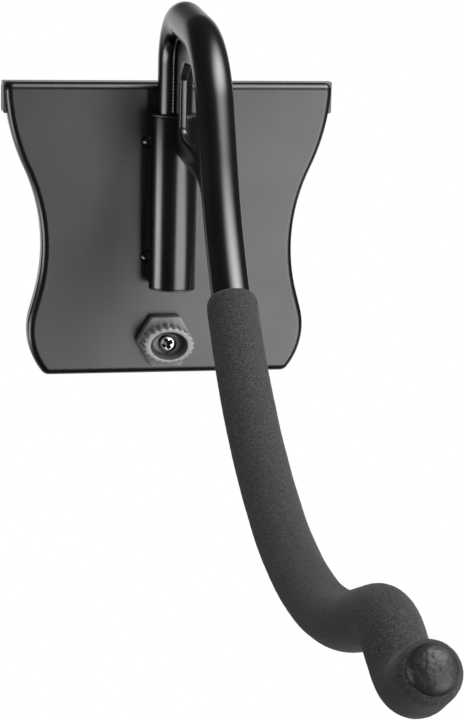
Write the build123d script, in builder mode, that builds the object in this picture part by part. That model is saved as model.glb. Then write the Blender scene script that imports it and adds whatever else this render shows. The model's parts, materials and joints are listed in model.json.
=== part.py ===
from build123d import *
import math
import os

# Bicycle wall rack: a stamped and flanged wall plate carries an upright pivot tube, and a padded
# hook of bent tube swings in it. The plate's folded lip hangs in a panel's slot and a quarter-turn
# lock holds the foot of the plate in the slot below.
# Frame: millimetres, +Z up, the rack faces -Y. The origin lies on the seat under the folded lip,
# on the plate's centreline, in the plane of the panel's face.

# ---- wall plate (pressed steel sheet) ----
sheet = 2.5                      # sheet thickness
plate_depth = 10.5               # front face to the rear edges of the flanges
plate_foot = -158.8              # lower edge of the plate
half_top = 89.9                  # half of the width at the lip
shoulder_start = 4.0             # height where the straight run beside the lip ends
shoulder_r = 114.3               # convex shoulder, waist and lobe of the side outline
shoulder_turn = 25.1
waist_r = 100.5
waist_turn = 40.6
lobe_run = 9.8
lobe_r = 37.8
lobe_turn = 78.6
top_corner = 4.2                 # corners of the outline beside the lip
foot_corner = 5.5                # corners at the foot
outline_over = 5.0               # run of the side outline above the plate, cut off again
bend_r = 3.8                     # outer radius of the flange bend
relief_rise = 9.9                # foot of the side flanges above the lower edge
relief_half = 63.0               # half of the width of the foot flange
relief_depth = 4.2               # depth of metal left behind the reliefs

# ---- folded lip ----
lip_gap = 4.5                    # panel thickness taken between flange plane and lip
lip_drop = 17.1                  # height of the lip's back wall
lip_bend_r = 4.6                 # outer radius of the rear fold
lip_half = 90.5                  # half of the lip's width, just past the plate's sides
lip_corner = 0.9                 # lower corners of the back wall

# ---- pivot tube, 1 inch tube welded upright to the plate ----
tube_r = 12.7
tube_wall = 2.0
tube_top = -13.6
tube_foot = -107.1
weld_gap = 0.02                  # fit between welded pieces
tube_axis_y = -(plate_depth + tube_r + weld_gap)
bead_r = 5.4                     # stitch welds beside the tube
bead_len = 5.6
bead_sides = (-12.2, 9.6)         # across the plate
bead_heights = (-29.1, -92.9)

# ---- pivot bushings (nylon) ----
press_gap = 0.02                 # radial fit of a pressed bushing
run_gap = 0.06                   # radial running clearance of the shank
flange_t = 1.0
upper_len = 16.0
lower_len = 12.0
thrust_gap = 0.08                # gusset shoulder over the upper bushing's flange

# ---- hook arm, 3/4 inch tube ----
arm_r = 9.525
arm_wall = 2.0
swing_rest = 1.8                 # degrees the hook stands to +X from straight out
shank_foot = -105.1
shank_top = 15.2
crook_r = 24.0                   # first bend over the top
crook_turn = 97.0
crown_run = 30.5
crown_r = 50.0                   # second bend over the top
crown_turn = 61.0
fall_run = 30.9
dip_r = 260.5                    # long sweep down and out
dip_turn = 43.4
dip_bare_turn = 15.4             # part of the long sweep left bare
lead_run = 3.5                   # straight length where the foam begins
cradle_r = 170.0                 # rim cradle
cradle_turn = 47.6
cradle_run = 24.5
hump_r = 26.0                    # ridge between cradle and outer saddle
hump_turn = 51.7
hump_run = 13.7
saddle_r = 20.0                  # outer saddle
saddle_turn = 63.8
tip_run = 23.9
vent_r = 1.9                     # vent hole of the bent tube
vent_turn = 46.1                 # its place along the first bend
vent_side = 28.8                 # degrees out of the hook's plane, to its left

# ---- grip and plugs ----
foam_r = 12.7
foam_gap = 0.05                  # foam bore over the tube
foam_round = 3.0                 # rounded ends of the foam
foam_setback = 5.8               # tube and cap showing past the foam
cap_head = 4.6
cap_round = 4.2
plug_gap = 0.05                  # plug shafts in the tube bore
cap_plug = 10.0
plug_head = 1.5
plug_head_r = 8.9
plug_len = 12.0

# ---- gusset plate in the crook of the hook ----
web_t = 4.0
web_front = 14.3                 # rear edge of the gusset in front of the pivot tube
web_foot = -32.7                 # its lower rear corner
web_low_s = 64.7                 # end of the nearly level lower edge
web_low_z = -38.6
web_belly_r = 25.0               # lower edge turning down towards the arm
web_belly_turn = 40.0
web_belly_run = 13.0
web_arm_turn = 7.5               # end of the gusset along the long sweep
web_corner = 2.5
web_bead_r = 1.9                 # fillet welds beside the shank
web_bead_s = 9.9
slot_left = 23.0                 # long lock slot through the gusset, narrower at the top
slot_top = 17.2
slot_right = 64.5
slot_foot = -24.5
slot_top_cut = (10.0, 9.0)       # bevelled corners of the slot: along and up, inner top corner
slot_out_cut = (15.0, 12.0)      # outer top corner
slot_foot_cut = (8.5, 5.5)       # outer foot corner
slot_in_cut = (6.0, 1.5, 5.0)    # inner foot corner: along, up to the foot line, up to the side
slot_corner = 4.5                # rounding of every corner

# ---- quarter-turn lock ----
lock_x = -1.6
lock_z = -139.5
face_gap = 0.2                   # knob over the plate
knob_corner_r = 16.3             # hexagonal base, over corners
knob_base = 7.2                  # height of the base over the plate
knob_draft = 2.0
knob_edge = 0.5
collar_top = 17.8                # height of the oval collar over the plate
collar_a = 13.2
collar_b = 9.4
scallops = 22
scallop_r = 1.1
bowl_a = 10.2                    # oval recess
bowl_b = 7.7
bowl_narrow = 2.2                # the recess narrows towards its floor
bowl_floor = 10.4                # height of the recess floor over the plate
seat_r = 5.35                    # round pocket for the screw head
seat_floor = 9.0
boss_gap = 0.08
boss_r = 6.92                    # turns in the plate's hole
neck_r = 5.0
hole_r = boss_r + boss_gap
washer_gap = 0.3                 # retaining washer behind the sheet
washer_r = 10.0
washer_t = 1.0
square = 7.0                     # square drive of the cam
cam_gap = 0.1                    # behind the panel's lip
cam_t = 3.0
cam_len = 28.0
cam_w = 12.0
screw_r = 2.5
screw_gap = 0.1
screw_head_r = 4.3
screw_head_t = 2.2
screw_recess = 1.3
recess_w = 1.3
recess_len = 5.2
nut_flats = 8.0
nut_t = 2.7
screw_past_nut = 0.8

os.makedirs("parts", exist_ok=True)

# ---------------------------------------------------------------- wall plate
plate_top = sheet
foot_mid = plate_foot + (plate_top - plate_foot) / 2


def plate_outline(inset):
    """Front outline of the plate, drawn in by the inset on every side."""
    half = half_top - inset
    with BuildSketch() as outline:
        with BuildLine():
            side_run = Line((half, plate_top + outline_over), (half, shoulder_start))
            shoulder = JernArc(side_run @ 1, side_run % 1, shoulder_r - inset, -shoulder_turn)
            waist = JernArc(shoulder @ 1, shoulder % 1, waist_r + inset, waist_turn)
            lobe_side = Line(waist @ 1, waist @ 1 + (waist % 1) * lobe_run)
            lobe = JernArc(lobe_side @ 1, lobe_side % 1, lobe_r - inset, -lobe_turn)
            Line(lobe @ 1, (0, (lobe @ 1).Y))
            Line((0, plate_top + outline_over), side_run @ 0)
            mirror(about=Plane.YZ)
        make_face()
        with Locations((0, foot_mid)):
            Rectangle(3 * half_top, plate_top - plate_foot - 2 * inset, mode=Mode.INTERSECT)
        fillet(outline.vertices().group_by(Axis.Y)[0], foot_corner - inset)
        fillet(outline.vertices().group_by(Axis.Y)[-1], top_corner - inset)
    return outline.sketch


with BuildPart() as tray_room:
    with BuildSketch(Plane.XZ):
        add(plate_outline(sheet))
    extrude(amount=plate_depth - sheet)
    fillet(tray_room.edges().group_by(Axis.Y)[0], bend_r - sheet)

with BuildPart() as wall_plate:
    # pressed tray: rounded over the front, open at the back
    with BuildSketch(Plane.XZ):
        add(plate_outline(0))
    extrude(amount=plate_depth)
    fillet(wall_plate.edges().group_by(Axis.Y)[0], bend_r)
    # folded lip: the sheet runs back over the seat and down behind the panel
    with BuildSketch(Plane.YZ.offset(-lip_half)):
        with Locations((lip_gap + sheet, plate_top)):
            lip_block = Rectangle(plate_depth / 2 + lip_gap + sheet, lip_drop, align=(Align.MAX, Align.MAX))
        fillet(lip_block.vertices().group_by(Axis.Y)[-1].sort_by(Axis.X)[-1:], lip_bend_r)
    extrude(amount=2 * lip_half)
    lip_foot = wall_plate.edges().filter_by(Axis.Y).group_by(Axis.Y)[-1]
    fillet(lip_foot.filter_by(lambda e: abs(e.center().Z - plate_top + lip_drop) < sheet / 2), lip_corner)
    # inside of the tray
    add(tray_room.part, mode=Mode.SUBTRACT)
    # room for the panel between the flange plane and the lip
    with BuildSketch(Plane.YZ.offset(-lip_half)):
        with Locations((lip_gap, 0)):
            lip_room = Rectangle(lip_gap, lip_drop + sheet, align=(Align.MAX, Align.MAX))
        fillet(lip_room.vertices().group_by(Axis.Y)[-1].sort_by(Axis.X)[-1:], lip_bend_r - sheet)
    extrude(amount=2 * lip_half, mode=Mode.SUBTRACT)
    # corner reliefs between the side flanges and the foot flange
    relief_mid = (half_top + relief_half) / 2
    with BuildSketch(Plane.XZ):
        with Locations((relief_mid, plate_foot), (-relief_mid, plate_foot)):
            Rectangle(half_top - relief_half, 2 * relief_rise)
    extrude(amount=plate_depth - relief_depth, mode=Mode.SUBTRACT)
    # hole for the lock
    with BuildSketch(Plane.XZ):
        with Locations((lock_x, lock_z)):
            Circle(hole_r)
    extrude(amount=plate_depth, mode=Mode.SUBTRACT)
wall_plate.part.label = "wall_plate"
export_step(wall_plate.part, "parts/wall_plate.step")

# ---------------------------------------------------------------- pivot tube
tube_plane = Plane(origin=(0, tube_axis_y, tube_foot))
with BuildPart() as bead:
    Cylinder(bead_r, bead_len)
    fillet(bead.edges().filter_by(GeomType.CIRCLE), bead_len * 0.45)

with BuildPart() as pivot_tube:
    with BuildSketch(tube_plane):
        Circle(tube_r)
    extrude(amount=tube_top - tube_foot)
    for bead_z in bead_heights:
        with Locations([(x, -plate_depth - weld_gap, bead_z) for x in bead_sides]):
            add(bead.part)
    with Locations((0, -plate_depth - weld_gap, tube_foot)):
        bead_room = (Align.CENTER, Align.MIN, Align.MIN)
        Box(4 * tube_r, bead_r, tube_top - tube_foot, align=bead_room, mode=Mode.SUBTRACT)
    with BuildSketch(tube_plane):
        Circle(tube_r - tube_wall)
    extrude(amount=tube_top - tube_foot, mode=Mode.SUBTRACT)
pivot_tube.part.label = "pivot_tube"
export_step(pivot_tube.part, "parts/pivot_tube.step")

# ---------------------------------------------------------------- bushings
bush_r = tube_r - tube_wall - press_gap
bore_r = arm_r + run_gap

with BuildPart() as upper_bushing:
    with BuildSketch(Plane(origin=(0, tube_axis_y, tube_top - upper_len))):
        Circle(bush_r)
    extrude(amount=upper_len)
    with BuildSketch(Plane(origin=(0, tube_axis_y, tube_top))):
        Circle(tube_r)
    extrude(amount=flange_t)
    fillet(upper_bushing.edges().group_by(Axis.Z)[-1], 0.3)
    with BuildSketch(Plane(origin=(0, tube_axis_y, tube_top - upper_len))):
        Circle(bore_r)
    extrude(amount=upper_len + flange_t, mode=Mode.SUBTRACT)
upper_bushing.part.label = "upper_bushing"
export_step(upper_bushing.part, "parts/upper_bushing.step")

with BuildPart() as lower_bushing:
    with BuildSketch(Plane(origin=(0, tube_axis_y, tube_foot))):
        Circle(bush_r)
    extrude(amount=lower_len)
    with BuildSketch(Plane(origin=(0, tube_axis_y, tube_foot - flange_t))):
        Circle(tube_r)
    extrude(amount=flange_t)
    fillet(lower_bushing.edges().group_by(Axis.Z)[0], 0.3)
    with BuildSketch(Plane(origin=(0, tube_axis_y, tube_foot - flange_t))):
        Circle(bore_r)
    extrude(amount=lower_len + flange_t, mode=Mode.SUBTRACT)
lower_bushing.part.label = "lower_bushing"
export_step(lower_bushing.part, "parts/lower_bushing.step")

# ---------------------------------------------------------------- hook arm
# The hook is bent in one upright plane. In that plane x runs outwards from the pivot axis, y up.
swing = math.radians(swing_rest)
hook_plane = Plane(
    origin=(0, tube_axis_y, 0),
    x_dir=(math.sin(swing), -math.cos(swing), 0),
    z_dir=(-math.cos(swing), -math.sin(swing), 0),
)

with BuildLine() as spine:
    shank = Line((0, shank_foot), (0, shank_top))
    crook = JernArc(shank @ 1, shank % 1, crook_r, -crook_turn)
    crown_line = Line(crook @ 1, crook @ 1 + (crook % 1) * crown_run)
    crown = JernArc(crown_line @ 1, crown_line % 1, crown_r, -crown_turn)
    fall = Line(crown @ 1, crown @ 1 + (crown % 1) * fall_run)
    dip_bare = JernArc(fall @ 1, fall % 1, dip_r, dip_bare_turn)
    lead_line = Line(dip_bare @ 1, dip_bare @ 1 + (dip_bare % 1) * lead_run)
    dip_foam = JernArc(lead_line @ 1, lead_line % 1, dip_r, dip_turn - dip_bare_turn)
    cradle = JernArc(dip_foam @ 1, dip_foam % 1, cradle_r, cradle_turn)
    cradle_line = Line(cradle @ 1, cradle @ 1 + (cradle % 1) * cradle_run)
    hump = JernArc(cradle_line @ 1, cradle_line % 1, hump_r, -hump_turn)
    hump_line = Line(hump @ 1, hump @ 1 + (hump % 1) * hump_run)
    saddle = JernArc(hump_line @ 1, hump_line % 1, saddle_r, saddle_turn)
    tip_line = Line(saddle @ 1, saddle @ 1 + (saddle % 1) * (tip_run - foam_setback))
    tip_bare = Line(tip_line @ 1, tip_line @ 1 + (tip_line % 1) * (foam_setback - cap_head))

arm_path = hook_plane.from_local_coords(spine.wires()[0])
arm_start = Plane(origin=arm_path @ 0, z_dir=arm_path % 0)
arm_end = Plane(origin=arm_path @ 1, z_dir=arm_path % 1)

with BuildPart() as arm_solid:
    with BuildSketch(arm_start):
        Circle(arm_r)
    sweep(path=arm_path)

# the vent hole goes through the inner wall of the first bend, towards the bend's centre
vent_angle = math.radians(vent_turn)
vent_way = (math.cos(vent_angle), -math.sin(vent_angle))
vent_plane = Plane(
    origin=hook_plane.from_local_coords((crook_r - crook_r * vent_way[0], shank_top - crook_r * vent_way[1], 0)),
    z_dir=(hook_plane.x_dir * vent_way[0] + hook_plane.y_dir * vent_way[1]) * math.cos(math.radians(vent_side))
    + hook_plane.z_dir * math.sin(math.radians(vent_side)),
)

with BuildPart() as hook_arm:
    with BuildSketch(arm_start):
        Circle(arm_r)
        Circle(arm_r - arm_wall, mode=Mode.SUBTRACT)
    sweep(path=arm_path)
    with BuildSketch(vent_plane):
        Circle(vent_r)
    extrude(amount=arm_r + 1, mode=Mode.SUBTRACT)
hook_arm.part.label = "hook_arm"
export_step(hook_arm.part, "parts/hook_arm.step")

# ---------------------------------------------------------------- foam grip
with BuildLine() as grip_spine:
    add([lead_line, dip_foam, cradle, cradle_line, hump, hump_line, saddle, tip_line])

grip_path = hook_plane.from_local_coords(grip_spine.wires()[0])

with BuildPart() as foam_grip:
    with BuildSketch(Plane(origin=grip_path @ 0, z_dir=grip_path % 0)):
        Circle(foam_r)
        Circle(arm_r + foam_gap, mode=Mode.SUBTRACT)
    sweep(path=grip_path)
    rims = foam_grip.edges().filter_by(GeomType.CIRCLE).filter_by(lambda e: abs(e.radius - foam_r) < 0.01)
    fillet([rims.sort_by_distance(grip_path @ 0)[0], rims.sort_by_distance(grip_path @ 1)[0]], foam_round)
foam_grip.part.label = "foam_grip"
export_step(foam_grip.part, "parts/foam_grip.step")

# ---------------------------------------------------------------- gusset
shoulder_z = tube_top + flange_t + thrust_gap
with BuildSketch(hook_plane.offset(-web_t / 2)) as web:
    with BuildLine():
        web_shank = Line((0, shoulder_z), (0, shank_top))
        web_crook = JernArc(web_shank @ 1, web_shank % 1, crook_r, -crook_turn)
        web_crown_line = Line(web_crook @ 1, web_crook @ 1 + (web_crook % 1) * crown_run)
        web_crown = JernArc(web_crown_line @ 1, web_crown_line % 1, crown_r, -crown_turn)
        web_fall = Line(web_crown @ 1, web_crown @ 1 + (web_crown % 1) * fall_run)
        web_dip = JernArc(web_fall @ 1, web_fall % 1, dip_r, web_arm_turn)
        web_low = Line((web_front, web_foot), (web_low_s, web_low_z))
        web_belly = JernArc(web_low @ 1, web_low % 1, web_belly_r, -web_belly_turn)
        web_taper = Line(web_belly @ 1, web_belly @ 1 + (web_belly % 1) * web_belly_run)
        Line(web_taper @ 1, web_dip @ 1)
        Line((web_front, web_foot), (web_front, shoulder_z))
        Line((web_front, shoulder_z), (0, shoulder_z))
    make_face()
    fillet(web.vertices().sort_by_distance((web_front, web_foot, 0))[0], web_corner)
    with BuildLine():
        Polyline(
            (slot_left, slot_foot + slot_in_cut[2]),
            (slot_left, slot_top - slot_top_cut[1]),
            (slot_left + slot_top_cut[0], slot_top),
            (slot_right - slot_out_cut[0], slot_top),
            (slot_right, slot_top - slot_out_cut[1]),
            (slot_right, slot_foot + slot_foot_cut[1]),
            (slot_right - slot_foot_cut[0], slot_foot),
            (slot_left + slot_in_cut[0], slot_foot + slot_in_cut[1]),
            close=True,
        )
    make_face(mode=Mode.SUBTRACT)
    fillet(web.faces()[0].inner_wires()[0].vertices(), slot_corner)

with BuildPart() as arm_envelope:
    with BuildSketch(arm_start):
        Circle(arm_r + weld_gap)
    sweep(path=arm_path)

web_bead_off = web_t / 2 + 0.4 * web_bead_r
with BuildPart() as hook_gusset:
    extrude(web.sketch, amount=web_t, dir=hook_plane.z_dir)
    # fillet welds on both sides of the straight shank
    with BuildSketch(Plane(origin=(0, tube_axis_y, shoulder_z + thrust_gap))):
        for side in (-1, 1):
            bead_turn = math.atan2(side * web_bead_off, web_bead_s)
            bead_reach = math.hypot(web_bead_s, web_bead_off)
            bead_dir = swing + bead_turn
            with Locations((bead_reach * math.sin(bead_dir), -bead_reach * math.cos(bead_dir))):
                Circle(web_bead_r)
    extrude(amount=shank_top - shoulder_z - thrust_gap)
    add(arm_envelope.part, mode=Mode.SUBTRACT)
hook_gusset.part.label = "hook_gusset"
export_step(hook_gusset.part, "parts/hook_gusset.step")

# ---------------------------------------------------------------- plugs
plug_r = arm_r - arm_wall - plug_gap
with BuildPart() as end_cap:
    with BuildSketch(arm_end):
        Circle(arm_r)
    extrude(amount=cap_head)
    head_rims = end_cap.edges().filter_by(GeomType.CIRCLE)
    fillet(head_rims.sort_by(lambda e: (e.arc_center - arm_end.origin).dot(arm_end.z_dir))[-1], cap_round)
    with BuildSketch(arm_end):
        Circle(plug_r)
    extrude(amount=-cap_plug)
end_cap.part.label = "end_cap"
export_step(end_cap.part, "parts/end_cap.step")

with BuildPart() as shank_plug:
    with BuildSketch(Plane(origin=(0, tube_axis_y, shank_foot))):
        Circle(plug_r)
    extrude(amount=plug_len)
    with BuildSketch(Plane(origin=(0, tube_axis_y, shank_foot))):
        Circle(plug_head_r)
    extrude(amount=-plug_head)
    fillet(shank_plug.edges().group_by(Axis.Z)[0], plug_head * 0.4)
shank_plug.part.label = "shank_plug"
export_step(shank_plug.part, "parts/shank_plug.step")

# ---------------------------------------------------------------- lock
# The lock is built on planes facing -Y at the plate's front face, so heights are over the plate.
lock_axis = Plane.XZ.offset(plate_depth).shift_origin((lock_x, -plate_depth, lock_z))
boss_back = sheet + washer_gap
cam_front = plate_depth + lip_gap + cam_gap
cam_back = cam_front + cam_t

with BuildPart() as lock_knob:
    with BuildSketch(lock_axis.offset(face_gap)):
        RegularPolygon(knob_corner_r, 6)
    extrude(amount=knob_base - face_gap, taper=knob_draft)
    fillet(lock_knob.edges().group_by(Axis.Y)[0], knob_edge)
    with BuildSketch(lock_axis.offset(knob_base / 2)):
        Ellipse(collar_a, collar_b)
        for i in range(scallops):
            turn = 2 * math.pi * (i + 0.5) / scallops
            with Locations((collar_a * math.cos(turn), collar_b * math.sin(turn))):
                Circle(scallop_r)
    extrude(amount=collar_top - knob_base / 2)
    with BuildSketch(lock_axis.offset(bowl_floor)):
        Ellipse(bowl_a - bowl_narrow, bowl_b - bowl_narrow)
    with BuildSketch(lock_axis.offset(collar_top)):
        Ellipse(bowl_a, bowl_b)
    loft(mode=Mode.SUBTRACT)
    with BuildSketch(lock_axis.offset(seat_floor)):
        Circle(seat_r)
    extrude(amount=bowl_floor - seat_floor, mode=Mode.SUBTRACT)
    with BuildSketch(lock_axis.offset(face_gap)):
        Circle(boss_r)
    extrude(amount=-(boss_back + face_gap))
    with BuildSketch(lock_axis.offset(-boss_back)):
        Circle(neck_r)
    extrude(amount=-(cam_front - boss_back))
    with BuildSketch(lock_axis.offset(-cam_front)):
        Rectangle(square, square)
    extrude(amount=-cam_t)
    with BuildSketch(lock_axis.offset(-cam_back)):
        Circle(screw_r + screw_gap)
    extrude(amount=cam_back + seat_floor, mode=Mode.SUBTRACT)
lock_knob.part.label = "lock_knob"
export_step(lock_knob.part, "parts/lock_knob.step")

with BuildPart() as lock_washer:
    with BuildSketch(lock_axis.offset(-boss_back)):
        Circle(washer_r)
        Circle(neck_r + press_gap, mode=Mode.SUBTRACT)
    extrude(amount=-washer_t)
lock_washer.part.label = "lock_washer"
export_step(lock_washer.part, "parts/lock_washer.step")

with BuildPart() as lock_cam:
    with BuildSketch(lock_axis.offset(-cam_front)):
        SlotOverall(cam_len, cam_w, rotation=90)
        Rectangle(square + 2 * press_gap, square + 2 * press_gap, mode=Mode.SUBTRACT)
    extrude(amount=-cam_t)
lock_cam.part.label = "lock_cam"
export_step(lock_cam.part, "parts/lock_cam.step")

with BuildPart() as lock_nut:
    with BuildSketch(lock_axis.offset(-cam_back)):
        RegularPolygon(nut_flats / 2, 6, major_radius=False)
        Circle(screw_r + press_gap, mode=Mode.SUBTRACT)
    extrude(amount=-nut_t)
lock_nut.part.label = "lock_nut"
export_step(lock_nut.part, "parts/lock_nut.step")

screw_len = seat_floor + cam_back + nut_t + screw_past_nut
with BuildPart() as lock_screw:
    with BuildSketch(lock_axis.offset(seat_floor)):
        Circle(screw_head_r)
    extrude(amount=screw_head_t)
    fillet(lock_screw.edges().group_by(Axis.Y)[0], screw_head_t * 0.45)
    with BuildSketch(lock_axis.offset(seat_floor)):
        Circle(screw_r)
    extrude(amount=-screw_len)
    chamfer(lock_screw.edges().group_by(Axis.Y)[-1], 0.5)
    with BuildSketch(lock_axis.offset(seat_floor + screw_head_t)):
        Rectangle(recess_len, recess_w, rotation=25)
        Rectangle(recess_w, recess_len, rotation=25)
    extrude(amount=-screw_recess, taper=8, mode=Mode.SUBTRACT)
lock_screw.part.label = "lock_screw"
export_step(lock_screw.part, "parts/lock_screw.step")
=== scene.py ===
import json
import math

import bmesh
import bpy
from mathutils import Matrix, Quaternion, Vector, noise


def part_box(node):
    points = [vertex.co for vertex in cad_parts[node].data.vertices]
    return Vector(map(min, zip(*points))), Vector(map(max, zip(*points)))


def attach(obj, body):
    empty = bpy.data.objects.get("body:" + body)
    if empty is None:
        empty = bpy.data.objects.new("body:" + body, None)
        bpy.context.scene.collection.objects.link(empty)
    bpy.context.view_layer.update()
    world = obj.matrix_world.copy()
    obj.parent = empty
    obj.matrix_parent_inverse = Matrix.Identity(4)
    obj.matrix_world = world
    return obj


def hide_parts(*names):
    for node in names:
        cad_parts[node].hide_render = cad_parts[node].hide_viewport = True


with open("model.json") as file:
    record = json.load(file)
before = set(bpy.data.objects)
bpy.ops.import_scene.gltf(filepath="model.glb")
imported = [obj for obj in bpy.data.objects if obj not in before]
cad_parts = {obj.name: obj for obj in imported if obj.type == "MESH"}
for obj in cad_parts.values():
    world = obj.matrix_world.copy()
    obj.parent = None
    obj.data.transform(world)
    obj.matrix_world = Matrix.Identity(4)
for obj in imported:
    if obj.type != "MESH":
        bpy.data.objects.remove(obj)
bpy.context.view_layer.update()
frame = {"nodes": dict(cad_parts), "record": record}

bl_info = {
    "name": "Bicycle wall rack",
    "version": (1, 0, 0),
    "blender": (4, 5, 0),
    "location": "View3D > Sidebar > Wall rack",
    "description": "Builds a bicycle wall rack: flanged plate, swinging padded hook and lock",
    "category": "Object",
}

MM = 0.001
SLOTS = {part["node"]: part["material_slot"] for part in frame["record"]["subparts"]}
JOINTS = {joint["name"]: joint for joint in frame["record"]["behaviour"]["joints"]}
PIVOT = Vector(JOINTS["hook_swing"]["pos_m"])
LOCK = Vector(JOINTS["lock_turn"]["pos_m"])
# the plate's front face
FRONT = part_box("wall_plate")[0][1]

# Every named size from here to the camera is in millimetres, and every named turn in degrees.

# Bend schedule of the hook, in its own upright plane: (kind, length or radius, turn), + turns upwards.
SWING_REST = 1.8
SHANK_FOOT = -105.1
SWOOP_RADIUS = 260.5
BENDS = [
    ("run", 120.3), ("bend", 24.0, -97.0),
    ("run", 30.5), ("bend", 50.0, -61.0),
    ("run", 30.9), ("bend", SWOOP_RADIUS, 15.4),
]
GRIP_BENDS = [
    ("run", 3.5), ("bend", SWOOP_RADIUS, 28.0), ("bend", 170.0, 47.6),
    ("run", 24.5), ("bend", 26.0, -51.7),
    ("run", 13.7), ("bend", 20.0, 63.8), ("run", 18.1),
]
TIP_BENDS = [("run", 1.2)]
ARM_POINTS = 96
ARM_STEP = 1.5

# Vent hole: turn along the first bend, turn out of the hook's plane to its left, and the drill's
# (height over the tube's skin, radius) from outside to inside.
VENT_ALONG = 46.1
VENT_ASIDE = 28.8
VENT_DRILL = [(2.0, 3.4), (-0.5, 2.1), (-0.9, 1.9), (-4.0, 1.9)]

# Outline of the gusset and its slot in the hook's plane: (along, up).
SHOULDER = -12.52
WEB_INSET = 8.4
WEB_REAR = (14.3, -32.7)
WEB_REAR_CORNER = 2.5
WEB_LOW = (64.7, -38.6)
BELLY_RADIUS = 25.0
BELLY_TURN = -40.0
WEB_TAPER = 13.0
WEB_DIP_TURN = 7.5
WEB_THICK = 4.0
WEB_EDGE = 1.1
SLOT = [
    (23.0, -19.5), (23.0, 8.2), (33.0, 17.2), (49.5, 17.2),
    (64.5, 5.2), (64.5, -19.0), (56.0, -24.5), (29.0, -23.0),
]
SLOT_CORNER = 4.5

# Fillet welds beside the gusset: radius, how far they lie to each side and inside the tube's skin,
# the height and pitch of their ripple, and how far they run past the shoulder and into the swoop.
WELD_RADIUS = 1.3
WELD_ASIDE = 2.3
WELD_INSET = 0.1
WELD_RIPPLE = 0.08
WELD_PITCH = 1.9
WELD_LEAD = 1.0
WELD_TAIL = 12.0
WELD_STEP = 0.6
WELD_POINTS = 14

# Foam sleeve: waves of its skin as (size, height), how far it lies inside its full radius,
# its clearance over the tube, and the thin edge that its rolled ends keep.
FOAM_WAVES = [(22.0, 0.22), (2.2, 0.1)]
FOAM_SINK = 0.2
FOAM_CLEAR = 0.05
FOAM_EDGE = 0.1
FOAM_POINTS = 112

# Dipped cap: waves of its dents as (size, height), how far they are sunk and how much of them shows
# at the top, the film's thickness and clearance, its tuck under the foam, and the depth and clearance
# of its plug inside the tube.
CAP_WAVES = [(5.2, 0.9), (1.7, 0.3)]
CAP_SINK = 0.2
CAP_DENT = 0.7
CAP_FILM = 0.35
CAP_CLEAR = 0.02
CAP_TUCK = 1.5
CAP_PLUG = 10.0
PLUG_CLEAR = 0.05
CAP_POINTS = 128

# Pivot tube: wall, rounding of its rims, and its stitch welds. A stitch has half sizes out of its
# corner, across it and up the tube.
TUBE_WALL = 2.0
TUBE_RIM = 0.5
TUBE_POINTS = 128
STITCH_HEIGHTS = (-29.1, -92.9)
STITCH_SIDES = (-12.2, 9.6)
STITCH_HALF = (3.4, 4.6, 3.7)
STITCH_FACE = (0.75, 0.66)
STITCH_SINK = 0.5

# Lock knob, in heights over the plate's face: the hexagon's centre to corner, taper and rounded edge,
# the collar's half length and width, and the bowl's. A ring has a whole number of points to each flute.
KNOB_FLUTES = 22
KNOB_POINTS = 24 * KNOB_FLUTES
KNOB_FOOT = 0.2
KNOB_CORNER = 16.3
KNOB_TAPER = 0.24
KNOB_BASE = 7.2
KNOB_EDGE = 0.8
COLLAR = (13.4, 9.5)
COLLAR_TOP = 17.8
COLLAR_EDGE = 1.2
FLUTE = 0.8
BOWL = (10.2, 7.7)
BOWL_LIP = 0.5
BOWL_DEPTH = 6.4
BOWL_TAPER = 1.9
BOWL_FLOOR = (10.4, 7.8, 5.45)
# the screw's round seat in the bowl, down to its hole: (height, radius)
SEAT = [(10.4, 5.35), (10.1, 5.2), (9.0, 5.1), (9.0, 2.6), (KNOB_FOOT, 2.6)]

# Lock screw: its head, crown and the radius where its edge begins to round, its underside as
# (radius, height), its shank, and the cross: half length and width, lean of its walls, centre point.
HEAD_RADIUS = 4.3
HEAD_TOP = 11.2
HEAD_CROWN = 0.4
HEAD_EDGE = 3.5
HEAD_ROUND = 0.6
HEAD_UNDER = [(4.3, 9.4), (4.1, 9.0), (2.5, 9.0)]
SHANK_RADIUS = 2.5
HEAD_POINTS = 160
HEAD_RINGS = 45
CROSS_TURN = 25
CROSS_DEPTH = 1.2
CROSS_LENGTH = 3.1
CROSS_WIDTH = 1.15
CROSS_END_LEAN = 0.5
CROSS_SIDE_LEAN = 0.35
CROSS_POINT = 0.7
CROSS_POINT_RADIUS = 1.7

# Camera: place in metres, and yaw, pitch and roll in radians.
VIEW_PLACE = (-0.21138, -1.24649, 0.13124)
VIEW_YAW = 0.19843
VIEW_PITCH = -0.22097
VIEW_ROLL = 0.02448

# Where the lamps aim, in metres, and how far a lamp's mirror image stands behind its light.
AIM = (0.0, -0.1, -0.07)
SHINE_APART = 0.03


# ---------------------------------------- colours and nodes

WHITE = (1.0, 1.0, 1.0, 1.0)


def srgb(code):
    """Linear RGBA of an sRGB hex value."""
    values = [int(code[i:i + 2], 16) / 255 for i in (0, 2, 4)]
    linear = [v / 12.92 if v <= 0.04045 else ((v + 0.055) / 1.055) ** 2.4 for v in values]
    return (*linear, 1.0)


def shade(colour, factor):
    """A colour scaled in brightness, opaque."""
    return (*(channel * factor for channel in colour[:3]), 1.0)


def node(tree, kind, settings=None, inputs=None, links=None, stops=None):
    """Adds a shader node. Settings are its own values, inputs its sockets' values, links the outputs
    that feed its sockets, and stops a ramp's (position, colour) pairs."""
    made = tree.nodes.new(kind)
    for name, value in (settings or {}).items():
        setattr(made, name, value)
    for name, value in (inputs or {}).items():
        made.inputs[name].default_value = value
    for name, output in (links or {}).items():
        tree.links.new(output, made.inputs[name])
    if stops:
        elements = made.color_ramp.elements
        elements[0].position, elements[0].color = stops[0]
        elements[1].position, elements[1].color = stops[-1]
        for position, colour in stops[1:-1]:
            elements.new(position).color = colour
    return made


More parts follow.
